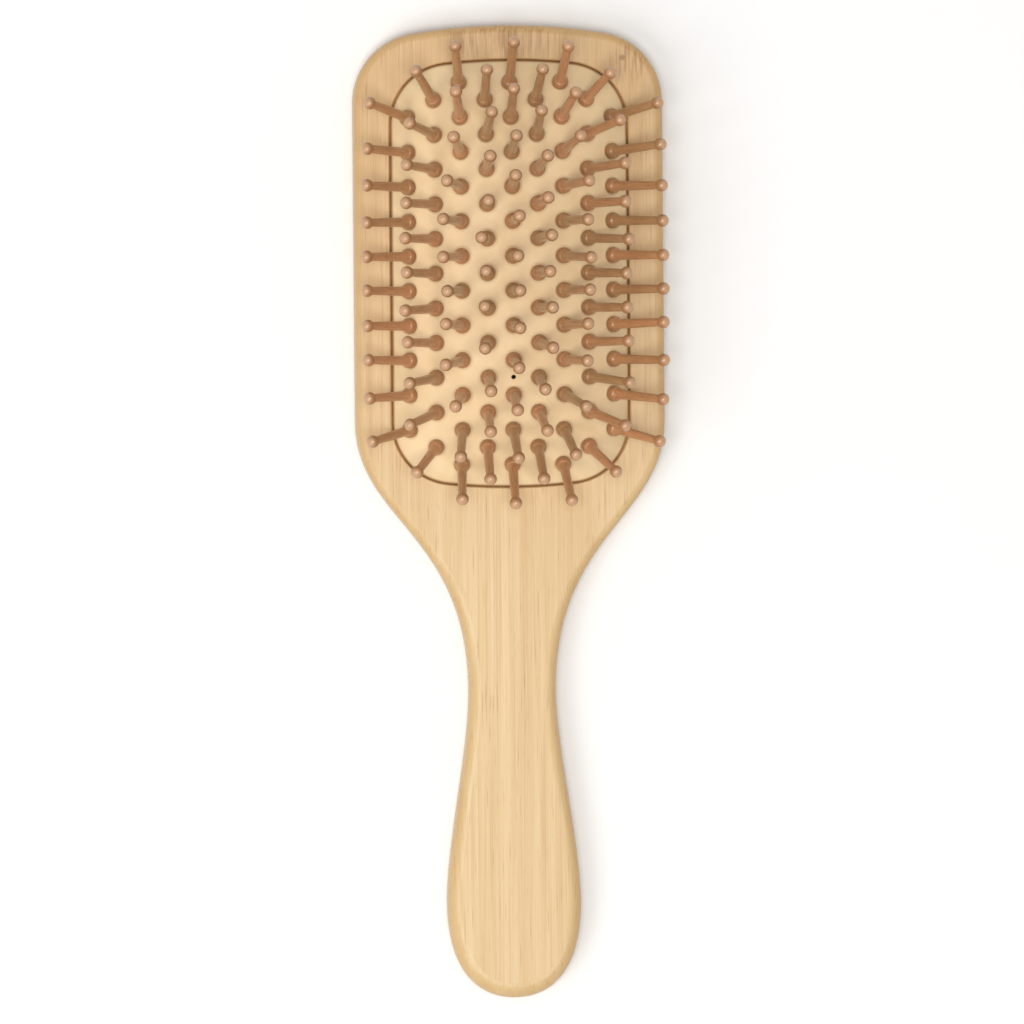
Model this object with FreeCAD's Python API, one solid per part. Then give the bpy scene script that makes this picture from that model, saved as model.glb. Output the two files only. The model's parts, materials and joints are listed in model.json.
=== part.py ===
"""Paddle brush: a bamboo board, a moulded rubber air cushion and a hundred turned wooden pins.

Millimetres. X runs across the brush, Y along it with the head toward +Y, and Z up out of the
pin side. The origin is the middle of the flat back face. One STEP file is written per node.
"""
import FreeCAD
import Part
import math
import os

Vector = FreeCAD.Vector

# Board
LENGTH = 250.0
HEAD_WIDTH = 79.4
NECK_WIDTH = 22.2
HANDLE_WIDTH = 34.3
THICKNESS = 11.0
HEAD_CROWN_RADIUS = 150.0
HEAD_CORNER_RADIUS = 18.0
SHOULDER_RISE = 17.1        # the straight sides end this far above the cushion's lower end
SHOULDER_LENGTH = 69.5      # from there down to the narrowest station
WIDEST_FROM_END = 24.5      # widest station of the handle
SHOULDER_PULL = 0.37        # how far the side's direction is carried into the shoulder curve
NECK_PULL = 0.59            # how far the neck's direction is carried back into it
HANDLE_PULL = 0.28
END_FULLNESS = 0.64         # 0.55 gives an ellipse, more gives a squarer handle end
ROUND_HEAD = 2.0            # edge rounding along the head
ROUND_NECK = 2.6
ROUND_HANDLE = 3.3
ROUND_END = 3.9

# Cushion seat in the board
BORDER = 9.0                # bamboo left beside the cushion
END_BORDER = 8.7            # bamboo left above the cushion
SEAT_LENGTH = 110.0
SEAT_CORNER_RADIUS = 16.0
FLOOR = 3.0                 # bamboo left under the air chamber
LEDGE_DEPTH = 5.0           # top face down to the ledge the rubber bead rests on
GROOVE_HEIGHT = 2.1
GROOVE_REACH = 1.25         # undercut beyond the seat's outline
SEAT_CHAMFER = 0.3

# Cushion
SIDE_GAP = 0.25             # shadow line between rubber and bamboo
BEAD_GAP = 0.1              # bead to the roof and the bottom of the undercut
SKIRT = 2.2                 # wall of the rim inside the seat
MEMBRANE = 1.8
DOME_HEIGHT = 12.5
DOME_SINK = 0.3             # the dome's zero line lies this far under the board's face
DOME_POWER_ACROSS = 2.4
DOME_POWER_ALONG = 3.2
CORNER_BLEND = 1.75         # makes the zero line follow the rounded corners
DOME_OVERHANG = 0.4         # zero line outside the seat's outline
VENT_DIAMETER = 1.2
VENT_ROWS = -3              # row pitches from the middle, toward the handle

# Pin field
PINS_PER_COLUMN = (12, 11, 12, 11, 10)  # from the middle column outward
COLUMN_MARGIN = 4.7         # outermost columns to the seat's side
ROW_MARGIN = 6.2            # last pins of the longest columns to the seat's end

# Pin, measured along its own axis from the rubber's outer surface
TIP_RADIUS = 1.63
TIP_CENTRE = 19.8
SHAFT_TOP_RADIUS = 1.05
SHAFT_FOOT_RADIUS = 1.27
COLLAR_RADIUS = 2.02
COLLAR_STRAIGHT = 0.8
COLLAR_HEIGHT = 1.95
COLLAR_LIFT = 0.04
STEM_RADIUS = 1.0
STEM_CLEARANCE = 0.06
BARB_RADIUS = 1.7
BARB_HEIGHT = 0.8
BARB_GAP = 0.2

# Worked out from the sizes above
HALF_LENGTH = LENGTH / 2.0
HALF_HEAD = HEAD_WIDTH / 2.0
HALF_NECK = NECK_WIDTH / 2.0
HALF_HANDLE = HANDLE_WIDTH / 2.0
SEAT_HALF_WIDTH = HALF_HEAD - BORDER
SEAT_HALF_LENGTH = SEAT_LENGTH / 2.0
SEAT_Y = HALF_LENGTH - END_BORDER - SEAT_HALF_LENGTH
SHOULDER_Y = SEAT_Y - SEAT_HALF_LENGTH + SHOULDER_RISE
NECK_Y = SHOULDER_Y - SHOULDER_LENGTH
WIDEST_Y = WIDEST_FROM_END - HALF_LENGTH
LEDGE = THICKNESS - LEDGE_DEPTH
DOME_BASE = THICKNESS - DOME_SINK
COLUMN_PITCH = (SEAT_HALF_WIDTH - COLUMN_MARGIN) / (len(PINS_PER_COLUMN) - 1)
ROW_PITCH = 2.0 * (SEAT_HALF_LENGTH - ROW_MARGIN) / (max(PINS_PER_COLUMN) - 1)

# Modelling helpers
SURFACE_MARGIN = 2.0        # how far the dome's surfaces run past the seat
SURFACE_STEPS = (24, 40)
SLOPE_STEP = 0.001
THROUGH = 3.0               # how far a cutter runs past what it cuts


def bezier(*points):
    """Edge of a Bezier curve through its end points."""
    curve = Part.BezierCurve()
    curve.setPoles([Vector(x, y, 0) for x, y in points])
    return curve.toShape()


def line(a, b):
    return Part.makeLine(Vector(*a, 0), Vector(*b, 0))


def arc(centre, radius, start, middle, end):
    """Arc on the circle, through the directions given in radians."""
    points = []
    for angle in (start, middle, end):
        x = centre[0] + radius * math.cos(angle)
        y = centre[1] + radius * math.sin(angle)
        points.append(Vector(x, y, 0))
    return Part.Arc(*points).toShape()


def crowned_end(half_width, top, corner, crown):
    """Corner centre of a crowned end, and the direction in which its two arcs meet."""
    x = half_width - corner
    rise = math.sqrt((crown - corner) ** 2 - x ** 2)
    return (x, top - crown + rise), math.atan2(rise, x)


def mirrored(edge, direction):
    """The edge and its mirror image across the plane through the origin."""
    return [edge, edge.mirror(Vector(0, 0, 0), direction)]


def face_of(edges):
    ordered = Part.__sortEdges__(edges)
    return Part.Face(Part.Wire(ordered))


def board_outline():
    """Plan of the board: crowned head, shoulders, neck and swelling handle."""
    centre, meet = crowned_end(HALF_HEAD, HALF_LENGTH, HEAD_CORNER_RADIUS, HEAD_CROWN_RADIUS)
    swell = NECK_Y - WIDEST_Y
    sides = [
        arc(centre, HEAD_CORNER_RADIUS, 0, meet / 2.0, meet),
        line((HALF_HEAD, centre[1]), (HALF_HEAD, SHOULDER_Y)),
        bezier((HALF_HEAD, SHOULDER_Y), (HALF_HEAD, SHOULDER_Y - SHOULDER_PULL * SHOULDER_LENGTH),
               (HALF_NECK, NECK_Y + NECK_PULL * SHOULDER_LENGTH), (HALF_NECK, NECK_Y)),
        bezier((HALF_NECK, NECK_Y), (HALF_NECK, NECK_Y - HANDLE_PULL * swell),
               (HALF_HANDLE, WIDEST_Y + HANDLE_PULL * swell), (HALF_HANDLE, WIDEST_Y)),
        bezier((HALF_HANDLE, WIDEST_Y), (HALF_HANDLE, WIDEST_Y - END_FULLNESS * WIDEST_FROM_END),
               (END_FULLNESS * HALF_HANDLE, -HALF_LENGTH), (0, -HALF_LENGTH)),
    ]
    crown_centre = (0, HALF_LENGTH - HEAD_CROWN_RADIUS)
    crown = arc(crown_centre, HEAD_CROWN_RADIUS, meet, math.pi / 2.0, math.pi - meet)
    edges = [crown]
    for edge in sides:
        edges += mirrored(edge, Vector(1, 0, 0))
    return face_of(edges)


def rounding_at(y):
    """Edge rounding of the board, which grows from the head to the handle's end."""
    stations = [
        (HALF_LENGTH, ROUND_HEAD),
        (SHOULDER_Y, ROUND_HEAD),
        (NECK_Y, ROUND_NECK),
        (WIDEST_Y, ROUND_HANDLE),
        (-HALF_LENGTH, ROUND_END),
    ]
    for (y_a, r_a), (y_b, r_b) in zip(stations, stations[1:]):
        if y >= y_b:
            return r_a + (r_b - r_a) * (y_a - y) / (y_a - y_b)
    return ROUND_END


def rounded_board(board):
    """Round the board's upper and lower edges with a radius that varies along it."""
    document = FreeCAD.newDocument("board")
    blank = document.addObject("Part::Feature", "blank")
    blank.Shape = board
    rounding = document.addObject("Part::Fillet", "rounding")
    rounding.Base = blank
    chosen = []
    for index, edge in enumerate(board.Edges, start=1):
        if edge.BoundBox.ZLength < SLOPE_STEP:
            radii = [rounding_at(vertex.Point.y) for vertex in edge.Vertexes]
            chosen.append((index, radii[0], radii[-1]))
    rounding.Edges = chosen
    document.recompute()
    shape = rounding.Shape.copy()
    FreeCAD.closeDocument(document.Name)
    return shape


def seat_outline(grow):
    """Plan of the cushion's seat, grown outward by the given amount, centred on the seat."""
    half_width = SEAT_HALF_WIDTH + grow
    half_length = SEAT_HALF_LENGTH + grow
    corner = SEAT_CORNER_RADIUS + grow
    crown = HEAD_CROWN_RADIUS + grow
    centre, meet = crowned_end(half_width, half_length, corner, crown)
    crown_centre = (0, half_length - crown)
    edges = mirrored(arc(crown_centre, crown, meet, math.pi / 2.0, math.pi - meet), Vector(0, 1, 0))
    edges += mirrored(line((half_width, centre[1]), (half_width, -centre[1])), Vector(1, 0, 0))
    for edge in mirrored(arc(centre, corner, 0, meet / 2.0, meet), Vector(1, 0, 0)):
        edges += mirrored(edge, Vector(0, 1, 0))
    return face_of(edges)


def seat_prism(grow, bottom, top):
    """Upright block of the seat's outline between two heights, in its place on the board."""
    face = seat_outline(grow)
    face.translate(Vector(0, SEAT_Y, bottom))
    return face.extrude(Vector(0, 0, top - bottom))


def seat_chamfer():
    """Small bevel round the mouth of the seat."""
    low = seat_outline(0.0).OuterWire
    high = seat_outline(SEAT_CHAMFER * 2.0).OuterWire
    low.translate(Vector(0, SEAT_Y, THICKNESS - SEAT_CHAMFER))
    high.translate(Vector(0, SEAT_Y, THICKNESS + SEAT_CHAMFER))
    return Part.makeLoft([low, high], True, True)


def make_board():
    """Bamboo board with the stepped, undercut seat for the cushion."""
    board = rounded_board(board_outline().extrude(Vector(0, 0, THICKNESS)))
    cutters = [
        seat_prism(-SIDE_GAP - SKIRT, FLOOR, LEDGE),
        seat_prism(GROOVE_REACH, LEDGE, LEDGE + GROOVE_HEIGHT),
        seat_prism(0.0, LEDGE + GROOVE_HEIGHT, THICKNESS),
        seat_chamfer(),
    ]
    for cutter in cutters:
        board = board.cut(cutter)
    return board.removeSplitter()


def dome_rise(x, y):
    """Height of the cushion's outer surface above its zero line, from the seat's middle."""
    across = abs(x / (SEAT_HALF_WIDTH + DOME_OVERHANG)) ** DOME_POWER_ACROSS
    along = abs(y / (SEAT_HALF_LENGTH + DOME_OVERHANG)) ** DOME_POWER_ALONG
    blend = (across ** CORNER_BLEND + along ** CORNER_BLEND) ** (1.0 / CORNER_BLEND)
    return DOME_HEIGHT * (1.0 - blend)


def dome_slopes(x, y):
    """Slope of the outer surface across and along the brush."""
    across = dome_rise(x + SLOPE_STEP, y) - dome_rise(x - SLOPE_STEP, y)
    along = dome_rise(x, y + SLOPE_STEP) - dome_rise(x, y - SLOPE_STEP)
    return across / (2.0 * SLOPE_STEP), along / (2.0 * SLOPE_STEP)


def dome_point(x, y, depth):
    """Point of the surface lying the given depth under the outer one."""
    across, along = dome_slopes(x, y)
    drop = depth * math.sqrt(1.0 + across ** 2 + along ** 2)
    return Vector(x, SEAT_Y + y, DOME_BASE + dome_rise(x, y) - drop)


def under_dome(depth):
    """Solid below the surface that lies the given depth under the outer one."""
    columns, rows = SURFACE_STEPS
    reach_x = SEAT_HALF_WIDTH + SURFACE_MARGIN
    reach_y = SEAT_HALF_LENGTH + SURFACE_MARGIN
    grid = []
    for i in range(columns + 1):
        x = reach_x * (2.0 * i / columns - 1.0)
        grid.append([dome_point(x, reach_y * (2.0 * j / rows - 1.0), depth) for j in range(rows + 1)])
    surface = Part.BSplineSurface()
    surface.interpolate(grid)
    return surface.toShape().extrude(Vector(0, 0, -2.0 * THICKNESS - DOME_HEIGHT))


def pin_seats():
    """Column, row and plan position of every pin, from the seat's middle."""
    seats = []
    outermost = len(PINS_PER_COLUMN) - 1
    for column in range(-outermost, outermost + 1):
        count = PINS_PER_COLUMN[abs(column)]
        for index in range(count):
            row = index - (count - 1) / 2.0
            seats.append((column, row, column * COLUMN_PITCH, row * ROW_PITCH))
    return seats


def placed(shape, x, y):
    """The shape moved from the origin to the dome's surface, its Z along the normal there."""
    across, along = dome_slopes(x, y)
    normal = Vector(-across, -along, 1.0)
    turn = FreeCAD.Rotation(Vector(0, 0, 1), normal)
    moved = shape.copy()
    moved.Placement = FreeCAD.Placement(dome_point(x, y, 0.0), turn)
    return moved


def bore(radius, x, y):
    """Cutter for a hole through the membrane, square to its surface."""
    depth = MEMBRANE + THROUGH
    cylinder = Part.makeCylinder(radius, depth + THROUGH, Vector(0, 0, -depth))
    return placed(cylinder, x, y)


def make_cushion():
    """Rubber cushion: pillow-shaped membrane, rim skirt and bead, pin holes and one vent."""
    top = DOME_BASE + DOME_HEIGHT + THROUGH
    dome = seat_prism(-SIDE_GAP, LEDGE, top).common(under_dome(0.0))
    bead = seat_prism(GROOVE_REACH - BEAD_GAP, LEDGE, LEDGE + GROOVE_HEIGHT - BEAD_GAP)
    hollow = seat_prism(-SIDE_GAP - SKIRT, LEDGE - THROUGH, top).common(under_dome(MEMBRANE))
    holes = [bore(STEM_RADIUS + STEM_CLEARANCE, x, y) for _, _, x, y in pin_seats()]
    holes.append(bore(VENT_DIAMETER / 2.0, 0.0, VENT_ROWS * ROW_PITCH))
    return dome.fuse(bead).cut(hollow).cut(holes).removeSplitter()


def pin():
    """One turned pin standing on the origin: barb, stem, collar, tapering shaft and ball tip."""
    barb_top = -MEMBRANE - BARB_GAP
    ball_foot = TIP_CENTRE - math.sqrt(TIP_RADIUS ** 2 - SHAFT_TOP_RADIUS ** 2)
    shoulder_x = SHAFT_FOOT_RADIUS + (COLLAR_RADIUS - SHAFT_FOOT_RADIUS) * math.sqrt(0.5)
    shoulder_z = COLLAR_STRAIGHT + (COLLAR_HEIGHT - COLLAR_STRAIGHT) * math.sqrt(0.5)
    outline = [
        (0, barb_top - BARB_HEIGHT),
        (BARB_RADIUS, barb_top - BARB_HEIGHT),
        (BARB_RADIUS, barb_top),
        (STEM_RADIUS, barb_top),
        (STEM_RADIUS, COLLAR_LIFT),
        (COLLAR_RADIUS, COLLAR_LIFT),
        (COLLAR_RADIUS, COLLAR_STRAIGHT),
    ]
    corners = [Vector(x, 0, z) for x, z in outline]
    collar_top = Vector(SHAFT_FOOT_RADIUS, 0, COLLAR_HEIGHT)
    shaft_top = Vector(SHAFT_TOP_RADIUS, 0, ball_foot)
    summit = Vector(0, 0, TIP_CENTRE + TIP_RADIUS)
    edges = [Part.makeLine(a, b) for a, b in zip(corners, corners[1:])]
    edges.append(Part.Arc(corners[-1], Vector(shoulder_x, 0, shoulder_z), collar_top).toShape())
    edges.append(Part.makeLine(collar_top, shaft_top))
    edges.append(Part.Arc(shaft_top, Vector(TIP_RADIUS, 0, TIP_CENTRE), summit).toShape())
    edges.append(Part.makeLine(summit, corners[0]))
    return Part.Face(Part.Wire(edges)).revolve(Vector(0, 0, 0), Vector(0, 0, 1), 360)


def pin_nodes():
    """Pins by node: the two that mirror each other across the middle of a column share one."""
    blank = pin()
    nodes = {}
    for column, row, x, y in pin_seats():
        number = column + len(PINS_PER_COLUMN)
        ring = math.ceil(abs(row))
        name = f"pins_c{number}_r{ring}" if ring else f"pin_c{number}_r0"
        nodes.setdefault(name, []).append(placed(blank, x, y))
    return {name: Part.makeCompound(pins) if len(pins) > 1 else pins[0] for name, pins in nodes.items()}


def main():
    os.makedirs("parts", exist_ok=True)
    nodes = {"board": make_board(), "cushion": make_cushion()}
    nodes.update(pin_nodes())
    for name, shape in nodes.items():
        shape.exportStep(f"parts/{name}.step")


main()
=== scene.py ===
"""Looks of the paddle brush: bamboo board, moulded rubber air cushion and turned wooden pins.

Metres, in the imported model's frame: X across, Y toward the head, Z up out of the pin side.
Where a comment says so, a section's lengths are in millimetres.
"""
import json
import math
import random

import bpy
from mathutils import Matrix, Vector, geometry, kdtree, noise

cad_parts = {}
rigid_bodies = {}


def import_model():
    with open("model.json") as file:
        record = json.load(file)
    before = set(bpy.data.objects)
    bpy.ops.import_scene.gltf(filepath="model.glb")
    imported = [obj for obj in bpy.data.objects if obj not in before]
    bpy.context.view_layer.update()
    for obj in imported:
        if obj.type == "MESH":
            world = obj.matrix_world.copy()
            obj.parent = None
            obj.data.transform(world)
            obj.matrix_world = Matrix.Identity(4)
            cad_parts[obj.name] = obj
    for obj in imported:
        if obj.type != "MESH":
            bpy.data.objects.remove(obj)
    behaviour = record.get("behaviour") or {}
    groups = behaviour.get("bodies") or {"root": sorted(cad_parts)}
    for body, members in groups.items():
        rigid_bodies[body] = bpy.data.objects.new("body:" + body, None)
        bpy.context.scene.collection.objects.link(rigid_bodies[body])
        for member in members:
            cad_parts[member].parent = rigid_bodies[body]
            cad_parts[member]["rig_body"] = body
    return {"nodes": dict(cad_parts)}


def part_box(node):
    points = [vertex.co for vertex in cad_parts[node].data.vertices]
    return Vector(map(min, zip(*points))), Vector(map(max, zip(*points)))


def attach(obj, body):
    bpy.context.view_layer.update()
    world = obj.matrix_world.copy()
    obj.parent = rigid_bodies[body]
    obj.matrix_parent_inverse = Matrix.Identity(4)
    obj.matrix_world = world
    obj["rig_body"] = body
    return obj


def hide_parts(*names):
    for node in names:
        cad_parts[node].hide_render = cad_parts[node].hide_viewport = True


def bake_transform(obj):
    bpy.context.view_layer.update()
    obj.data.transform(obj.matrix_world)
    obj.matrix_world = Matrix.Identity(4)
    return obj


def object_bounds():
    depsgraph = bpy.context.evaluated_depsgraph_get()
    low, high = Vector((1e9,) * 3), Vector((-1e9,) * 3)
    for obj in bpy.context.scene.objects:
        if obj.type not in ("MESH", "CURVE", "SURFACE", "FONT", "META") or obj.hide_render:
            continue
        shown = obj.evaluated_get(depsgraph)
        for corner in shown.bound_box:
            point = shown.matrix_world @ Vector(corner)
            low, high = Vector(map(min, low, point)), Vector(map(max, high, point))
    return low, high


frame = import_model()
cad_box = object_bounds()
board_low, board_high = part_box("board")
cushion_low, cushion_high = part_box("cushion")
MM = 0.001


# --- Camera, light and floor --------------------------------------------------------------------

VIEW_FROM_LEFT = math.radians(3.9)
VIEW_FROM_HEAD = math.radians(1.0)
VIEW_ROLL = math.radians(0.5)
VIEW_DISTANCE = 3.0
SENSOR = 36 * MM
PICTURE_WIDTH = 0.263       # what the picture spans at the board's face
CLIP_END = 12.0
FLOOR_REACH = 6.0
FLOOR_GAP = 0.1 * MM
FLOOR_TONE = (0.93, 0.93, 0.93, 1.0)
FLOOR_ROUGHNESS = 0.9
WORLD_TONE = (1.0, 1.0, 1.0, 1.0)
WORLD_STRENGTH = 0.4
LIGHTS = (                  # name, place, size, power in watts, colour
    ("overhead", (-0.15, -0.1, 2.4), 0.7, 28.5, (1.0, 0.99, 0.97)),
    ("key", (-0.8, -0.55, 1.3), 0.8, 8.8, (1.0, 0.98, 0.95)),
)


def add_object(name, data):
    made = bpy.data.objects.new(name, data)
    bpy.context.scene.collection.objects.link(made)
    return made


def add_camera():
    """Long lens over the pin side, the head up in the picture."""
    across = -math.tan(VIEW_FROM_LEFT)
    along = math.tan(VIEW_FROM_HEAD)
    back = Vector((across, along, 1.0)).normalized()
    middle = (board_low + board_high) / 2.0
    target = Vector((middle.x, middle.y, board_high.z))
    side = Vector((0.0, 1.0, 0.0)).cross(back).normalized()
    side.rotate(Matrix.Rotation(-VIEW_ROLL, 3, back))
    up = back.cross(side)
    lens = bpy.data.cameras.new("camera")
    lens.sensor_width = SENSOR / MM
    lens.lens = lens.sensor_width * VIEW_DISTANCE / PICTURE_WIDTH
    lens.clip_end = CLIP_END
    camera = add_object("camera", lens)
    axes = Matrix((side, up, back)).transposed().to_4x4()
    camera.matrix_world = Matrix.Translation(target + back * VIEW_DISTANCE) @ axes
    bpy.context.scene.camera = camera


def add_area(name, place, size, power, colour):
    """Soft square light aimed at the middle of the cushion."""
    lamp = bpy.data.lights.new(name, "AREA")
    lamp.size = size
    lamp.energy = power
    lamp.color = colour
    light = add_object(name, lamp)
    light.location = place
    aim = Vector((0.0, (cushion_low.y + cushion_high.y) / 2.0, board_high.z))
    light.rotation_euler = (aim - Vector(place)).to_track_quat("-Z", "Y").to_euler()


def add_floor():
    reach = FLOOR_REACH
    corners = [(-reach, -reach, 0), (reach, -reach, 0), (reach, reach, 0), (-reach, reach, 0)]
    mesh = bpy.data.meshes.new("floor")
    mesh.from_pydata(corners, [], [(0, 1, 2, 3)])
    floor = add_object("floor", mesh)
    floor.location.z = cad_box[0].z - FLOOR_GAP
    material = bpy.data.materials.new("floor")
    material.use_nodes = True
    shader = material.node_tree.nodes["Principled BSDF"]
    shader.inputs["Base Color"].default_value = FLOOR_TONE
    shader.inputs["Roughness"].default_value = FLOOR_ROUGHNESS
    mesh.materials.append(material)


def add_studio():
    world = bpy.data.worlds.new("studio")
    world.use_nodes = True
    background = world.node_tree.nodes["Background"]
    background.inputs["Color"].default_value = WORLD_TONE
    background.inputs["Strength"].default_value = WORLD_STRENGTH
    bpy.context.scene.world = world
    bpy.context.scene.view_settings.view_transform = "Standard"
    for light in LIGHTS:
        add_area(*light)
    add_floor()


# --- Materials ----------------------------------------------------------------------------------

def from_srgb(red, green, blue):
    """Linear colour of an 8-bit screen colour."""
    linear = []
    for value in (red, green, blue):
        share = value / 255.0
        linear.append(share / 12.92 if share <= 0.04045 else ((share + 0.055) / 1.055) ** 2.4)
    return (*linear, 1.0)


class Material:
    """A Principled material and short ways to add nodes to it."""

    def __init__(self, name, roughness, specular=0.5, coat=0.0, coat_roughness=0.3):
        self.data = bpy.data.materials.new(name)
        self.data.use_nodes = True
        self.tree = self.data.node_tree
        self.shader = self.tree.nodes["Principled BSDF"]
        self.shader.inputs["Roughness"].default_value = roughness
        self.shader.inputs["Specular IOR Level"].default_value = specular
        self.shader.inputs["Coat Weight"].default_value = coat
        self.shader.inputs["Coat Roughness"].default_value = coat_roughness

    def add(self, kind, inputs, output=0, **settings):
        """Output socket of a new node; each input is a value or another node's socket."""
        made = self.tree.nodes.new("ShaderNode" + kind)
        for key, value in settings.items():
            setattr(made, key, value)
        for key, value in inputs.items():
            if isinstance(value, bpy.types.NodeSocket):
                self.tree.links.new(value, made.inputs[key])
            else:
                made.inputs[key].default_value = value
        return made.outputs[output]

    def math(self, operation, a, b=0.0):
        return self.add("Math", {0: a, 1: b}, operation=operation)

    def position(self):
        """Place on the object in millimetres."""
        socket = self.add("TexCoord", {}, "Object")
        return self.add("Mapping", {"Vector": socket, "Scale": (1.0 / MM,) * 3})

    def attribute(self, name, output):
        return self.add("Attribute", {}, output, attribute_name=name)

    def stretched(self, vector, lengths, offset=(0.0, 0.0, 0.0)):
        """The vector divided by a length in millimetres along each axis."""
        scale = tuple(1.0 / length for length in lengths)
        return self.add("Mapping", {"Vector": vector, "Scale": scale, "Location": offset})

    def noise(self, vector, cell, offset=(0.0, 0.0, 0.0), detail=2.0, roughness=0.5):
        """Noise whose cells have the given lengths in millimetres along the three axes."""
        values = {"Vector": self.stretched(vector, cell, offset), "Scale": 1.0}
        values.update({"Detail": detail, "Roughness": roughness})
        return self.add("TexNoise", values, "Fac")

    def ramp(self, value, start, end, low_out=0.0, high_out=1.0):
        """Smooth step of the value between start and end."""
        inputs = {"Value": value, "From Min": start, "From Max": end}
        inputs.update({"To Min": low_out, "To Max": high_out})
        return self.add("MapRange", inputs, "Result", interpolation_type="SMOOTHSTEP")

    def mix(self, share, a, b):
        """Colour a with a share of colour b laid over it."""
        made = self.tree.nodes.new("ShaderNodeMix")
        made.data_type = "RGBA"
        sockets = (made.inputs["Factor"], made.inputs[6], made.inputs[7])
        for socket, value in zip(sockets, (share, a, b)):
            if isinstance(value, bpy.types.NodeSocket):
                self.tree.links.new(value, socket)
            else:
                socket.default_value = value
        return made.outputs[2]

    def tint(self, colour, tone, value, start, end, most=1.0):
        """Colour with more of the tone as the value goes from start to end, up to a share."""
        return self.mix(self.ramp(value, start, end, 0.0, most), colour, tone)

    def finish(self, colour, roughness, height, depth):
        """Connect the colour, the roughness and a relief of the given depth in metres."""
        bump = self.add("Bump", {"Height": height, "Distance": depth, "Strength": 1.0}, "Normal")
        self.tree.links.new(colour, self.shader.inputs["Base Color"])
        self.tree.links.new(roughness, self.shader.inputs["Roughness"])
        self.tree.links.new(bump, self.shader.inputs["Normal"])
        return self.data


BAMBOO_PALE = from_srgb(223, 194, 146)
BAMBOO_MID = from_srgb(215, 183, 131)
BAMBOO_WARM = from_srgb(204, 165, 113)
BAMBOO_FIBRE = from_srgb(172, 129, 82)
BAMBOO_MARK = from_srgb(150, 96, 48)
# painted highlight along the rounded edges of the handle
BAMBOO_HIGHLIGHT = from_srgb(236, 212, 173)
STRIP_WIDTH = 6.4           # millimetres, as are the other lengths in the materials
STRIP_WANDER = 1.6          # how far a glued line strays
STRIP_BORDER = 0.88         # share of a strip before it blends into the next
STRIP_SHARE = 0.34
NECK_Y = -46.0              # the bamboo is tinted warmer from here to the head
HIGHLIGHT_END_Y = 20.0           # and a painted highlight runs along the handle's edges up to about here
TOP_MARK = (-1.0, -4.0)     # from the middle of the head's end
CORNER_MARK = (-8.5, -10.0)     # from the corner of the head, as is the speck
SPECK = (-10.3, -8.5)
TOP_MARK_REACH = (16.0, 6.5)
CORNER_MARK_REACH = (6.0, 6.5)
SPECK_REACH = (0.9, 0.8)
MARK_DEPTH = 4.0            # reach of a mark down the board's side, in thicknesses of the board
MARK_WAVER = 0.7
BAND_SHARE = 0.5
SPECK_SHARE = 0.7
BAMBOO_RELIEF = 0.035 * MM


def bamboo_strips(m, place):
    """Tone of the glued strips that the blank is cut from, from 0 to 1, with soft borders."""
    wander = m.noise(place, (30, 120, 30), detail=1.0)
    across = m.add("SeparateXYZ", {"Vector": place}, "X")
    shifted = m.math("ADD", across, m.math("MULTIPLY", wander, STRIP_WANDER))
    strip = m.math("DIVIDE", shifted, STRIP_WIDTH)
    number = m.math("FLOOR", strip)
    tone = m.add("TexWhiteNoise", {"W": number}, "Value", noise_dimensions="1D")
    following = m.add("TexWhiteNoise", {"W": m.math("ADD", number, 1.0)}, "Value",
                      noise_dimensions="1D")
    border = m.ramp(m.math("FRACT", strip), STRIP_BORDER, 1.0)
    step = m.math("MULTIPLY", m.math("SUBTRACT", following, tone), border)
    return m.math("ADD", tone, step)


def patch(m, place, middle, reach):
    """Patch round a plan point of the board, 1 in its middle and fading unevenly at its reach."""
    offset = m.add("VectorMath", {0: place, 1: (*middle, board_high.z / MM)}, operation="SUBTRACT")
    waver = m.noise(place, (3.5, 9, 9), detail=1.0)
    flat = m.stretched(offset, (*reach, MARK_DEPTH * board_high.z / MM))
    distance = m.add("VectorMath", {0: flat}, "Value", operation="LENGTH")
    uneven = m.math("ADD", distance, m.math("MULTIPLY", waver, MARK_WAVER))
    return m.ramp(uneven, 1.45, 0.75)


def bamboo_marks(m, place, fibres):
    """Brown streaks of a culm's node at the head's top and one corner, and scattered specks."""
    head = board_high.y / MM
    side = board_high.x / MM
    top = patch(m, place, (TOP_MARK[0], head + TOP_MARK[1]), TOP_MARK_REACH)
    corner = patch(m, place, (side + CORNER_MARK[0], head + CORNER_MARK[1]), CORNER_MARK_REACH)
    streaks = m.ramp(m.noise(place, (0.6, 9, 0.6)), 0.42, 0.62)
    band = m.math("MULTIPLY", m.math("MAXIMUM", top, corner), streaks)
    cells = m.stretched(place, (15, 21, 15), (0.4, 0.17, 0.3))
    distance = m.add("TexVoronoi", {"Vector": cells, "Scale": 1.0}, "Distance")
    scattered = m.math("MULTIPLY", m.ramp(distance, 0.05, 0.022), m.ramp(fibres, 0.3, 0.5))
    speck = patch(m, place, (side + SPECK[0], head + SPECK[1]), SPECK_REACH)
    return band, m.math("MAXIMUM", scattered, speck)


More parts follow.
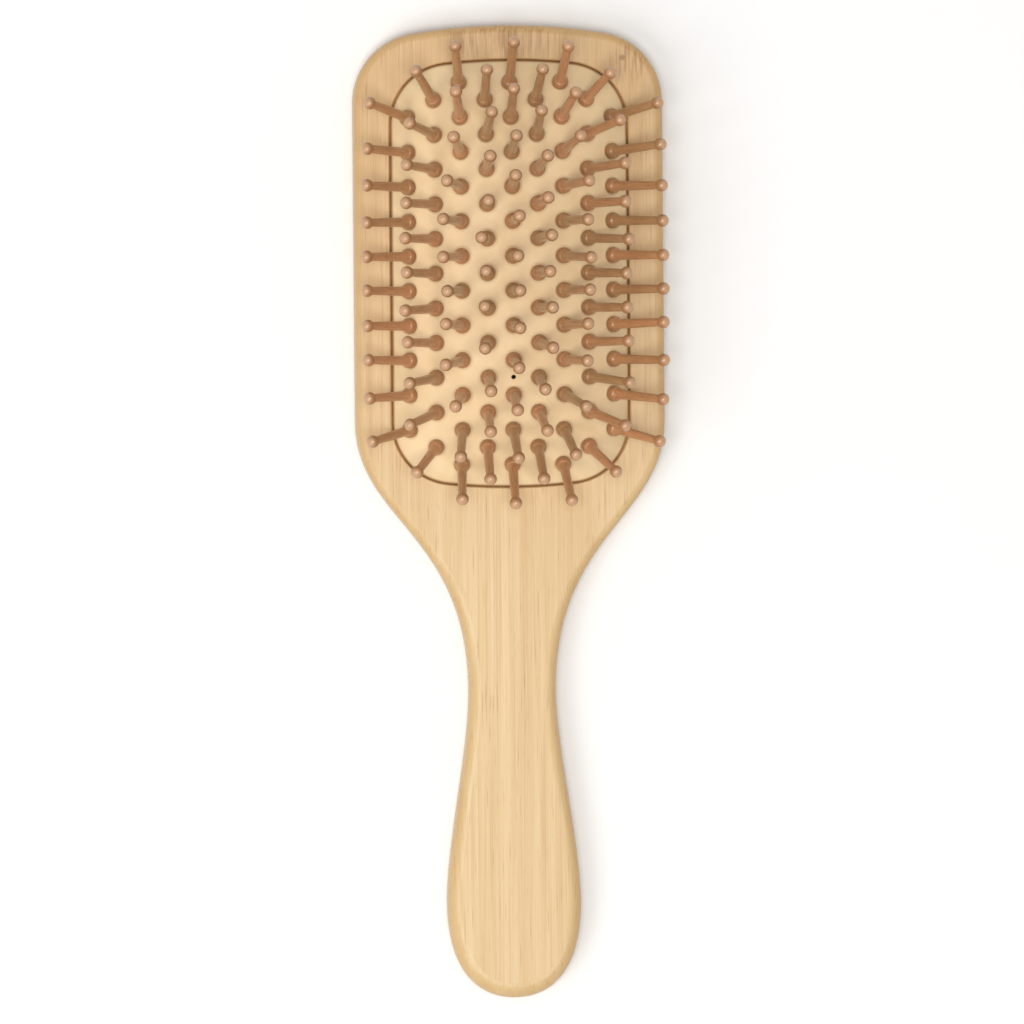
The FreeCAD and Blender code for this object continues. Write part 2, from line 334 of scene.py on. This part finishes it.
def bamboo_material():
    """Oiled bamboo: strips, fibres, dark bundles, browner edges (partly painted shade), a painted
    highlight on the handle's edges.
    """
    m = Material("bamboo", 0.45, specular=0.4, coat=0.12, coat_roughness=0.35)
    place = m.position()
    zones = m.noise(place, (4.2, 260, 4.2), detail=1.5)
    fibres = m.noise(place, (0.42, 55, 0.42), detail=3.0, roughness=0.62)
    coarse = m.noise(place, (1.3, 90, 1.3), (0.3, 0.7, 0.1))
    bundles = m.noise(place, (0.5, 13, 0.5), (0.6, 0.2, 0.9), detail=1.0)
    pores = m.noise(place, (0.22, 4.5, 0.22), detail=1.0)
    facing = m.add("SeparateXYZ", {"Vector": m.add("TexCoord", {}, "Normal")}, "Z")
    flat = m.math("ABSOLUTE", facing)
    edge = m.ramp(flat, 0.985, 0.62)
    colour = m.tint(BAMBOO_PALE, BAMBOO_MID, zones, 0.3, 0.72)
    colour = m.mix(m.math("MULTIPLY", bamboo_strips(m, place), STRIP_SHARE), colour, BAMBOO_WARM)
    colour = m.tint(colour, BAMBOO_WARM, coarse, 0.48, 0.8, most=0.5)
    along = m.add("SeparateXYZ", {"Vector": place}, "Y")
    colour = m.tint(colour, BAMBOO_WARM, along, NECK_Y, board_high.y / MM, most=0.85)
    colour = m.tint(colour, BAMBOO_FIBRE, fibres, 0.5, 0.82, most=0.38)
    colour = m.tint(colour, BAMBOO_PALE, fibres, 0.46, 0.2, most=0.5)
    colour = m.tint(colour, BAMBOO_FIBRE, bundles, 0.64, 0.78, most=0.5)
    colour = m.tint(colour, BAMBOO_FIBRE, pores, 0.62, 0.8, most=0.2)
    band, specks = bamboo_marks(m, place, fibres)
    colour = m.mix(m.math("MULTIPLY", band, BAND_SHARE), colour, BAMBOO_MARK)
    colour = m.mix(m.math("MULTIPLY", specks, SPECK_SHARE), colour, BAMBOO_MARK)
    # Rounded edges browner: partly the wood's own tone, partly painted shade where they turn from the
    # light.
    edge_tone_and_shade = m.math("MULTIPLY", edge, m.ramp(coarse, 0.2, 0.7, 0.3, 0.45))
    colour = m.mix(edge_tone_and_shade, colour, BAMBOO_WARM)
    # Painted highlight: a pale line where the handle's edge starts to round over.
    highlight_line = m.math("MULTIPLY", m.ramp(flat, 0.9998, 0.988), m.ramp(flat, 0.94, 0.98))
    highlight_reach = m.ramp(along, HIGHLIGHT_END_Y, NECK_Y)
    highlight_share = m.math("MULTIPLY", highlight_reach, m.ramp(coarse, 0.36, 0.62, 0.12, 0.4))
    colour = m.mix(m.math("MULTIPLY", highlight_line, highlight_share), colour, BAMBOO_HIGHLIGHT)
    roughness = m.ramp(fibres, 0.25, 0.8, 0.38, 0.58)
    grain = m.math("SUBTRACT", fibres, m.math("MULTIPLY", m.ramp(bundles, 0.6, 0.78), 0.8))
    relief = m.math("SUBTRACT", grain, m.math("MULTIPLY", m.ramp(pores, 0.6, 0.8), 0.4))
    return m.finish(colour, roughness, relief, BAMBOO_RELIEF)


RUBBER = from_srgb(238, 210, 166)
RUBBER_DEEP = from_srgb(229, 198, 151)
# brown of the glue line, also laid on as painted shade down in the groove and round the pins' feet
RUBBER_RIM = from_srgb(172, 130, 88)
# painted shade round each pin's foot, where it stands in the rubber
PIN_SHADE_SHARE = 0.3
RUBBER_RELIEF = 0.02 * MM


def rubber_material():
    """Tan moulded rubber: matte, faintly mottled, with a fine moulded grain."""
    m = Material("cushion_rubber", 0.55, specular=0.4)
    place = m.position()
    mottle = m.noise(place, (9, 9, 9), detail=3.0, roughness=0.55)
    grain = m.noise(place, (0.32, 0.32, 0.32), detail=3.0, roughness=0.65)
    swirl = m.noise(place, (2.6, 3.4, 2.6))
    colour = m.tint(RUBBER, RUBBER_DEEP, mottle, 0.35, 0.7, most=0.8)
    colour = m.tint(colour, RUBBER_DEEP, grain, 0.5, 0.8, most=0.22)
    # The glue line's brown and painted shade in the groove, fading over the rim.
    colour = m.mix(m.attribute("rim", "Fac"), colour, RUBBER_RIM)
    # Painted shade round each pin's foot.
    pin_shade_mask = m.attribute("pin_foot_shade", "Fac")
    colour = m.mix(m.math("MULTIPLY", pin_shade_mask, PIN_SHADE_SHARE), colour, RUBBER_RIM)
    roughness = m.ramp(swirl, 0.3, 0.7, 0.5, 0.64)
    relief = m.math("ADD", grain, m.math("MULTIPLY", swirl, 1.5))
    return m.finish(colour, roughness, relief, RUBBER_RELIEF)


PIN_AMBER = from_srgb(200, 143, 99)
PIN_BROWN = from_srgb(176, 134, 90)
PIN_DARK = from_srgb(138, 92, 54)
# painted highlight, the pale spot on top of each ball
PIN_HIGHLIGHT = from_srgb(206, 163, 124)
FOOT_SHADE = (2.4, 0.6)     # heights over the seat between which a shade comes in
NECK_SHADE = (18.4, 19.4)
TIP_HIGHLIGHT = (20.8, 21.5)
PIN_RELIEF = 0.018 * MM


def pin_material():
    """Turned wood under a thin varnish: fibres along the pin, tool rings, darker foot, painted highlight
    atop the ball.
    """
    m = Material("pin_wood", 0.35, specular=0.5, coat=0.35, coat_roughness=0.22)
    place = m.attribute("pin_place", "Vector")
    tone = m.attribute("pin_tone", "Fac")
    fibres = m.noise(place, (0.24, 0.24, 7.0), detail=3.0, roughness=0.6)
    blotch = m.noise(place, (1.1, 1.1, 4.5))
    rings = m.noise(place, (900, 900, 0.16), detail=1.0)
    height = m.add("SeparateXYZ", {"Vector": place}, "Z")
    colour = m.mix(tone, PIN_AMBER, PIN_BROWN)
    colour = m.tint(colour, PIN_DARK, blotch, 0.4, 0.75, most=0.32)
    colour = m.tint(colour, PIN_DARK, fibres, 0.5, 0.8, most=0.5)
    colour = m.tint(colour, PIN_DARK, rings, 0.55, 0.8, most=0.16)
    colour = m.tint(colour, PIN_DARK, height, *FOOT_SHADE, most=0.55)
    colour = m.tint(colour, PIN_DARK, height, *NECK_SHADE, most=0.45)
    # Painted highlight: a pale centre on the top of the ball.
    highlight_height = m.math("ADD", height, m.math("MULTIPLY", blotch, 0.5))
    colour = m.tint(colour, PIN_HIGHLIGHT, highlight_height, *TIP_HIGHLIGHT, most=0.75)
    roughness = m.ramp(fibres, 0.3, 0.8, 0.28, 0.46)
    relief = m.math("ADD", fibres, m.math("MULTIPLY", rings, 0.6))
    return m.finish(colour, roughness, relief, PIN_RELIEF)


# --- Cushion ------------------------------------------------------------------------------------

BEAD_REACH = 1.15 * MM      # bead beyond the seat's outline, which ends the cushion's box
SIDE_GAP = 0.25 * MM
SKIRT = 2.2 * MM
MEMBRANE = 1.8 * MM
BEAD_HEIGHT = 2.0 * MM
BEAD_SOFT = 0.3 * BEAD_HEIGHT
SEAT_CORNER = 16 * MM
HEAD_CROWN = 150 * MM
DOME_SINK = 0.3 * MM
DOME_POWER_ACROSS = 2.4
DOME_POWER_ALONG = 3.2
CORNER_BLEND = 1.75
DOME_OVERHANG = 0.4 * MM
SEAT_HALF_WIDTH = (cushion_high.x - cushion_low.x) / 2.0 - BEAD_REACH
SEAT_HALF_LENGTH = (cushion_high.y - cushion_low.y) / 2.0 - BEAD_REACH
SEAT_Y = (cushion_low.y + cushion_high.y) / 2.0
DOME_BASE = board_high.z - DOME_SINK
DOME_HEIGHT = cushion_high.z - DOME_BASE

PINS_PER_COLUMN = (12, 11, 12, 11, 10)  # from the middle column outward
COLUMN_MARGIN = 4.7 * MM    # from the seat's side to the outermost column
ROW_MARGIN = 6.2 * MM       # from the seat's ends to the longest columns' last pins
COLUMN_PITCH = (SEAT_HALF_WIDTH - COLUMN_MARGIN) / (len(PINS_PER_COLUMN) - 1)
ROW_PITCH = 2.0 * (SEAT_HALF_LENGTH - ROW_MARGIN) / (max(PINS_PER_COLUMN) - 1)
VENT_ROWS = -3              # place of the vent, in row pitches from the seat's middle
VENT_RADIUS = 0.6 * MM
HOLE_RADIUS = 1.06 * MM
COLLAR = 2.02               # a pin's collar, in millimetres as are its other sizes below
COLLAR_RADIUS = COLLAR * MM

SLOPE_STEP = 0.01 * MM
SIDE_POINTS = 60            # of a quarter of the outline
CORNER_POINTS = 26
CROWN_POINTS = 20
RIM_INSETS = (0.0, 0.05, 0.13, 0.26, 0.42, 0.62, 0.86, 1.15)    # millimetres
RIM_ROUND = 0.9 * MM
RIM_DROP = 0.5 * MM
RIM_DARK = 0.36 * MM        # inset at which the rim's brown edge, glue tone and painted groove shade, has half faded
RING_RADII = (1.45, 1.85, 2.1, 2.25, 2.42, 2.62, 2.85, 3.15)    # millimetres, round a pin
VENT_RADII = (0.68, 0.8, 0.96, 1.2)     # millimetres, round the vent
RING_POINTS = 24
MESH_SPACING = 1.05 * MM
INNER_SPACING = 2.4 * MESH_SPACING
MERGE_DISTANCE = 1e-9
LIP_RADIUS = 2.3 * MM
LIP_WIDTH = 0.26 * MM
LIP_HEIGHT = 0.17 * MM
SEAT_DIMPLE = 0.05 * MM
UNEVEN = 0.09 * MM
UNEVEN_LENGTH = 13 * MM
GRID_CLEARANCE = 0.62       # of the spacing, from a grid point to any other point
VENT_LIP = 0.09 * MM
VENT_LIP_RADIUS = 0.8 * MM
VENT_LIP_WIDTH = 0.16 * MM
# how far the painted shade round a pin's foot reaches from its axis
PIN_SHADE_REACH = 2.9 * MM
GROOVE_DEPTH = 1.0 * MM     # of the line between rubber and bamboo, under the board's face
SNUG_GAP = 0.03 * MM        # between them below that line


def clamped(value):
    return max(0.0, min(1.0, value))


def dome_rise(x, y):
    """Height of the cushion above its zero line, from the seat's middle."""
    across = abs(x / (SEAT_HALF_WIDTH + DOME_OVERHANG)) ** DOME_POWER_ACROSS
    along = abs(y / (SEAT_HALF_LENGTH + DOME_OVERHANG)) ** DOME_POWER_ALONG
    blend = (across ** CORNER_BLEND + along ** CORNER_BLEND) ** (1.0 / CORNER_BLEND)
    return DOME_HEIGHT * (1.0 - blend)


def dome_normal(x, y):
    across = dome_rise(x + SLOPE_STEP, y) - dome_rise(x - SLOPE_STEP, y)
    along = dome_rise(x, y + SLOPE_STEP) - dome_rise(x, y - SLOPE_STEP)
    return Vector((-across, -along, 2.0 * SLOPE_STEP)).normalized()


def dome_point(x, y):
    return Vector((x, SEAT_Y + y, DOME_BASE + dome_rise(x, y)))


def pin_seats():
    """Node name and plan position of every pin, from the seat's middle."""
    seats = []
    outermost = len(PINS_PER_COLUMN) - 1
    for column in range(-outermost, outermost + 1):
        count = PINS_PER_COLUMN[abs(column)]
        number = column + len(PINS_PER_COLUMN)
        for index in range(count):
            row = index - (count - 1) / 2.0
            ring = math.ceil(abs(row))
            node = f"pins_c{number}_r{ring}" if ring else f"pin_c{number}_r0"
            seats.append((node, column * COLUMN_PITCH, row * ROW_PITCH))
    return seats


def quarter_outline(grow):
    """A quarter of the seat's outline, from the side's middle to the crown's middle."""
    half_width = SEAT_HALF_WIDTH + grow
    corner = SEAT_CORNER + grow
    crown = HEAD_CROWN + grow
    x = half_width - corner
    rise = math.sqrt((crown - corner) ** 2 - x ** 2)
    crown_y = SEAT_HALF_LENGTH + grow - crown
    y = crown_y + rise
    meet = math.atan2(rise, x)
    points = [(half_width, y * i / SIDE_POINTS) for i in range(SIDE_POINTS)]
    for i in range(CORNER_POINTS):
        angle = meet * i / CORNER_POINTS
        points.append((x + corner * math.cos(angle), y + corner * math.sin(angle)))
    for i in range(CROWN_POINTS):
        angle = meet + (math.pi / 2.0 - meet) * i / CROWN_POINTS
        points.append((crown * math.cos(angle), crown_y + crown * math.sin(angle)))
    return points, (0.0, crown_y + crown)


def outline(grow):
    """The whole outline, counter-clockwise, with the same number of points for any growth."""
    quarter, top = quarter_outline(grow)
    upper = quarter + [top] + [(-x, y) for x, y in reversed(quarter)]
    return upper + [(-x, -y) for x, y in upper[1:-1]]


def ring_around(x, y, radius, depth=0.0):
    """Plan points of a circle square to the dome's normal."""
    normal = dome_normal(x, y)
    centre = Vector((x, y, 0.0)) - normal * depth
    first = Vector((0.0, 1.0, 0.0)).cross(normal).normalized()
    second = normal.cross(first)
    points = []
    for i in range(RING_POINTS):
        angle = 2.0 * math.pi * i / RING_POINTS
        point = centre + first * (radius * math.cos(angle)) + second * (radius * math.sin(angle))
        points.append((point.x, point.y))
    return points


def surface_grid(occupied, spacing):
    """Staggered points over the seat's box that keep clear of the occupied ones."""
    tree = kdtree.KDTree(len(occupied))
    for i, (x, y) in enumerate(occupied):
        tree.insert((x, y, 0.0), i)
    tree.balance()
    step = spacing * math.sqrt(0.75)
    rows = int(SEAT_HALF_LENGTH / step)
    columns = int(SEAT_HALF_WIDTH / spacing)
    points = []
    for j in range(-rows, rows + 1):
        for i in range(-columns, columns + 1):
            place = ((i + 0.5 * (j % 2)) * spacing, j * step)
            if tree.find((*place, 0.0))[2] > GRID_CLEARANCE * spacing:
                points.append(place)
    return points


def triangulated(border, holes, rings, spacing):
    """Plan mesh inside the border and outside the holes.

    Returns its points, its triangles, and the indices of the border and of each hole's edge.
    """
    fixed = list(border)
    edges = [(i, (i + 1) % len(border)) for i in range(len(border))]
    owner = [None] * len(border)
    for number, (_, edge) in enumerate(holes):
        first = len(fixed)
        fixed += edge
        owner += [number] * RING_POINTS
        edges += [(first + i, first + (i + 1) % RING_POINTS) for i in range(RING_POINTS)]
    for ring in rings:
        fixed += ring
    grid = surface_grid(fixed + [centre for centre, _ in holes], spacing)
    plan = [Vector(p) for p in fixed + grid]
    made = geometry.delaunay_2d_cdt(plan, edges, [list(range(len(border)))], 1, MERGE_DISTANCE)
    points, _, faces, origins = made[:4]
    index = {old: new for new, group in enumerate(origins) for old in group}
    hole_of = {index[old]: number for old, number in enumerate(owner) if number is not None}
    triangles = []
    for face in faces:
        numbers = {hole_of.get(corner) for corner in face}
        if len(numbers) > 1 or None in numbers:
            triangles.append(tuple(face))
    used = sorted({corner for triangle in triangles for corner in triangle})
    kept = {old: new for new, old in enumerate(used)}
    triangles = [tuple(kept[corner] for corner in triangle) for triangle in triangles]
    border_loop = [kept[index[i]] for i in range(len(border))]
    hole_loops = [[] for _ in holes]
    for old, number in enumerate(owner):
        if number is not None:
            hole_loops[number].append(kept[index[old]])
    return [points[old] for old in used], triangles, border_loop, hole_loops


class CushionMesh:
    """Collects the cushion's points and faces, each point's painted shade at a pin's foot and its share
    of the rim's brown.
    """

    def __init__(self):
        self.points = []
        self.faces = []
        self.pin_shade = []
        self.rim = []

    def add(self, point, pin_shade=0.0, rim=0.0):
        self.points.append(point)
        self.pin_shade.append(pin_shade)
        self.rim.append(rim)
        return len(self.points) - 1

    def bridge(self, lower, upper):
        """Quads between two closed loops that run the same way."""
        for i in range(len(lower)):
            j = (i + 1) % len(lower)
            self.faces.append((lower[i], lower[j], upper[j], upper[i]))


def nearest_seats():
    """Plan places of the pins and, last, of the vent, and a search tree over them."""
    places = [(x, y) for _, x, y in pin_seats()] + [(0.0, VENT_ROWS * ROW_PITCH)]
    tree = kdtree.KDTree(len(places))
    for i, (x, y) in enumerate(places):
        tree.insert((x, y, 0.0), i)
    tree.balance()
    return places, tree


def relief_at(point, place, is_vent):
    """Height of the moulded lip round a hole at a point of the dome, and its painted shade at the pin's
    foot.
    """
    seat = dome_point(*place)
    normal = dome_normal(*place)
    offset = point - seat
    radius = (offset - normal * offset.dot(normal)).length
    if is_vent:
        return VENT_LIP * math.exp(-((radius - VENT_LIP_RADIUS) / VENT_LIP_WIDTH) ** 2), 0.0
    lip = LIP_HEIGHT * math.exp(-((radius - LIP_RADIUS) / LIP_WIDTH) ** 2)
    inside = clamped((COLLAR_RADIUS - radius) / LIP_WIDTH)
    # Painted shade, full at the collar and gone at its reach.
    pin_shade = clamped((PIN_SHADE_REACH - radius) / (PIN_SHADE_REACH - COLLAR_RADIUS))
    return lip * (1.0 - inside) - SEAT_DIMPLE * inside, pin_shade


def outer_point(x, y, places, tree):
    """Point of the cushion's outer face with its lips and slight unevenness."""
    point = dome_point(x, y)
    _, nearest, _ = tree.find((x, y, 0.0))
    lift, pin_shade = relief_at(point, places[nearest], nearest == len(places) - 1)
    wave = UNEVEN * noise.noise(Vector((x, y, 0.0)) / UNEVEN_LENGTH)
    return point + dome_normal(x, y) * (lift + wave - UNEVEN), pin_shade


def add_outer_face(mesh, places, tree):
    """The pillow between the rim's innermost loop and the holes."""
    border = outline(-SIDE_GAP - RIM_INSETS[-1] * MM)
    vent = places[-1]
    holes = [(place, ring_around(*place, HOLE_RADIUS)) for place in places[:-1]]
    holes.append((vent, ring_around(*vent, VENT_RADIUS)))
    rings = [ring_around(*place, r * MM) for place in places[:-1] for r in RING_RADII]
    rings += [ring_around(*vent, r * MM) for r in VENT_RADII]
    plan, triangles, edge, hole_edges = triangulated(border, holes, rings, MESH_SPACING)
    for x, y in plan:
        mesh.add(*outer_point(x, y, places, tree))
    mesh.faces += triangles
    return edge, hole_edges


def add_rim(mesh, edge, places, tree):
    """Loops from the pillow's edge outward over the rounded rim, down the skirt to the bead."""
    inner = edge
    for inset in reversed(RIM_INSETS[:-1]):
        share = min(1.0, inset * MM / RIM_ROUND)
        drop = RIM_DROP * (1.0 - math.sqrt(1.0 - (1.0 - share) ** 2))
        # Share of the glue line's brown and painted groove shade, fading inward over the rim.
        rim = clamped(1.5 - inset * MM / RIM_DARK)
        loop = []
        for x, y in outline(-SIDE_GAP - inset * MM):
            point, _ = outer_point(x, y, places, tree)
            loop.append(mesh.add(point - Vector((0.0, 0.0, drop)), rim=rim))
        mesh.bridge(loop, inner)
        inner = loop
    bead_top = cushion_low.z + BEAD_HEIGHT
    groove_foot = board_high.z - GROOVE_DEPTH
    section = [
        (-SIDE_GAP, groove_foot),
        (-SNUG_GAP, groove_foot),
        (-SNUG_GAP, bead_top),
        (BEAD_REACH - BEAD_SOFT, bead_top),
        (BEAD_REACH, bead_top - BEAD_SOFT),
        (BEAD_REACH, cushion_low.z),
        (-SIDE_GAP - SKIRT, cushion_low.z),
    ]
    # The groove's walls, the bead and the skirt take the full brown: glue tone and painted groove shade.
    for grow, height in section:
        loop = [mesh.add(Vector((x, SEAT_Y + y, height)), rim=1.0) for x, y in outline(grow)]
        mesh.bridge(loop, inner)
        inner = loop
    return inner


def add_inner_face(mesh, skirt_foot, hole_edges, places):
    """The air chamber's roof, joined to the skirt and through every hole."""
    border = outline(-SIDE_GAP - SKIRT)
    radii = [HOLE_RADIUS] * (len(places) - 1) + [VENT_RADIUS]
    holes = [(place, ring_around(*place, radius, MEMBRANE)) for place, radius in zip(places, radii)]
    plan, triangles, edge, inner_edges = triangulated(border, holes, [], INNER_SPACING)
    first = len(mesh.points)
    for x, y in plan:
        drop = MEMBRANE / dome_normal(x, y).z
        mesh.add(dome_point(x, y) - Vector((0.0, 0.0, drop)))
    mesh.faces += [tuple(first + corner for corner in reversed(t)) for t in triangles]
    mesh.bridge([first + i for i in edge], skirt_foot)
    for outer, inner in zip(hole_edges, inner_edges):
        mesh.bridge(outer, [first + i for i in inner])


def make_cushion():
    """Closed rubber pillow with its rim, bead, lipped pin holes and vent."""
    places, tree = nearest_seats()
    mesh = CushionMesh()
    edge, hole_edges = add_outer_face(mesh, places, tree)
    skirt_foot = add_rim(mesh, edge, places, tree)
    add_inner_face(mesh, skirt_foot, hole_edges, places)
    data = bpy.data.meshes.new("air_cushion")
    data.from_pydata(mesh.points, [], mesh.faces)
    data.attributes.new("pin_foot_shade", "FLOAT", "POINT").data.foreach_set("value", mesh.pin_shade)
    data.attributes.new("rim", "FLOAT", "POINT").data.foreach_set("value", mesh.rim)
    data.shade_smooth()
    data.materials.append(rubber_material())
    cushion = add_object("air_cushion", data)
    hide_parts("cushion")
    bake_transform(cushion)


# --- Pins ---------------------------------------------------------------------------------------

TIP_RADIUS = 1.63           # millimetres, and heights over the pin's seat on the dome
TIP_CENTRE = 19.8
SHAFT_TOP = 1.05
SHAFT_FOOT = 1.27
COLLAR_STRAIGHT = 0.8
COLLAR_HEIGHT = 1.95
COLLAR_LIFT = 0.04
COLLAR_SOFT = 0.16
STEM = 1.0
BARB = 1.7
BARB_CHAMFER = 0.25
BARB_TOP = -2.0
BARB_FOOT = -2.8
NECK_SOFT = 0.45            # fillet between the shaft and the ball
FOOT_FLARE = (0.02, 0.25)   # how far the shaft is wider just over the collar, and up to where
SHAFT_STEPS = 6
GRAIN_RANGE = (20, 90)      # where in the wood's pattern a pin is cut from
PIN_SEGMENTS = 28
LEAN = math.radians(2.0)    # a pin's largest error of direction, across and along the brush
OUTER_SHARE = 0.35          # of the error across that is left in the two outermost columns
OUTER_BAND = 1.5 * COLUMN_PITCH     # from the seat's side inward, which holds such a column
PIN_SEED = 7


def arc_points(centre, radius, start, end, steps):
    """Points of an arc in the pin's section, between two angles in degrees."""
    points = []
    for i in range(steps + 1):
        angle = math.radians(start + (end - start) * i / steps)
        points.append((centre[0] + radius * math.cos(angle), centre[1] + radius * math.sin(angle)))
    return points


def pin_section():
    """Half section of a pin in millimetres, from the barb's foot to the ball's summit."""
    section = [(0.0, BARB_FOOT), (BARB - BARB_CHAMFER, BARB_FOOT)]
    section += [(BARB, BARB_FOOT + BARB_CHAMFER), (BARB, BARB_TOP)]
    section += [(STEM, BARB_TOP), (STEM, COLLAR_LIFT), (COLLAR - COLLAR_SOFT, COLLAR_LIFT)]
    section += arc_points((COLLAR - COLLAR_SOFT, COLLAR_LIFT + COLLAR_SOFT), COLLAR_SOFT, -60, 0, steps=3)
    shoulder = COLLAR_HEIGHT - COLLAR_STRAIGHT
    for x, z in arc_points((0.0, 0.0), 1.0, 0, 78, steps=8):
        section.append((SHAFT_FOOT + (COLLAR - SHAFT_FOOT) * x, COLLAR_STRAIGHT + shoulder * z))
    section.append((SHAFT_FOOT + FOOT_FLARE[0], COLLAR_HEIGHT + FOOT_FLARE[1]))
    reach = TIP_RADIUS + NECK_SOFT
    neck_x = SHAFT_TOP + NECK_SOFT
    neck_z = TIP_CENTRE - math.sqrt(reach ** 2 - neck_x ** 2)
    foot_z = section[-1][1]
    for i in range(1, SHAFT_STEPS):
        share = i / SHAFT_STEPS
        width = SHAFT_FOOT + (SHAFT_TOP - SHAFT_FOOT) * share
        section.append((width, foot_z + (neck_z - foot_z) * share))
    meet = math.degrees(math.asin((TIP_CENTRE - neck_z) / reach))
    section += arc_points((neck_x, neck_z), NECK_SOFT, 180, 180 - meet, steps=4)
    section += arc_points((0.0, TIP_CENTRE), TIP_RADIUS, -meet, 90, steps=16)[1:-1]
    section.append((0.0, TIP_CENTRE + TIP_RADIUS))
    return section


def leaning_axis(x, y, draw):
    """The dome's normal with a fitter's small error, never outward in the outermost columns."""
    normal = dome_normal(x, y)
    outward = LEAN * draw.uniform(-1.0, 1.0)
    if abs(x) > SEAT_HALF_WIDTH - OUTER_BAND:
        outward = -abs(outward) * OUTER_SHARE
    sign = 1.0 if x >= 0.0 else -1.0
    normal.rotate(Matrix.Rotation(sign * outward, 3, "Y"))
    normal.rotate(Matrix.Rotation(LEAN * draw.uniform(-1.0, 1.0), 3, "X"))
    return normal


def add_pin(points, faces, places, tones, section, x, y, draw):
    """Turn the section round the pin's axis at its seat on the dome."""
    axis = leaning_axis(x, y, draw)
    turn = axis.to_track_quat("Z", "Y").to_matrix()
    seat = dome_point(x, y)
    offset = Vector((draw.uniform(*GRAIN_RANGE), draw.uniform(*GRAIN_RANGE), 0.0))
    tone = draw.random()
    first = len(points)
    for radius, height in section:
        for i in range(PIN_SEGMENTS):
            angle = 2.0 * math.pi * i / PIN_SEGMENTS
            local = Vector((radius * math.cos(angle), radius * math.sin(angle), height))
            points.append(seat + turn @ (local * MM))
            places.append(local + offset)
            tones.append(tone)
            if radius == 0.0:
                break
    add_pin_faces(faces, first, len(section))


def add_pin_faces(faces, first, rings):
    """Fans at the two poles and quads between the rings."""
    start = first + 1
    summit = start + (rings - 2) * PIN_SEGMENTS
    for i in range(PIN_SEGMENTS):
        j = (i + 1) % PIN_SEGMENTS
        faces.append((first, start + j, start + i))
        for ring in range(rings - 3):
            lower = start + ring * PIN_SEGMENTS
            upper = lower + PIN_SEGMENTS
            faces.append((lower + i, lower + j, upper + j, upper + i))
        last = summit - PIN_SEGMENTS
        faces.append((last + i, last + j, summit))


def make_pins():
    """One piece per pair of pins, standing for the node of the same pair."""
    draw = random.Random(PIN_SEED)
    section = pin_section()
    material = pin_material()
    groups = {}
    for node, x, y in pin_seats():
        groups.setdefault(node, []).append((x, y))
    for node, seats in groups.items():
        points, faces, places, tones = [], [], [], []
        for x, y in seats:
            add_pin(points, faces, places, tones, section, x, y, draw)
        data = bpy.data.meshes.new("turned_" + node)
        data.from_pydata(points, [], faces)
        flat = [value for place in places for value in place]
        data.attributes.new("pin_place", "FLOAT_VECTOR", "POINT").data.foreach_set("vector", flat)
        data.attributes.new("pin_tone", "FLOAT", "POINT").data.foreach_set("value", tones)
        data.shade_smooth()
        data.materials.append(material)
        pins = add_object("turned_" + node, data)
        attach(pins, frame["nodes"][node]["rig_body"])
        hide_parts(node)


def dress_board():
    """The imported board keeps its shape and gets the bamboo."""
    board = frame["nodes"]["board"]
    board.data.materials.clear()
    board.data.materials.append(bamboo_material())


add_camera()
add_studio()
dress_board()
make_cushion()
make_pins()
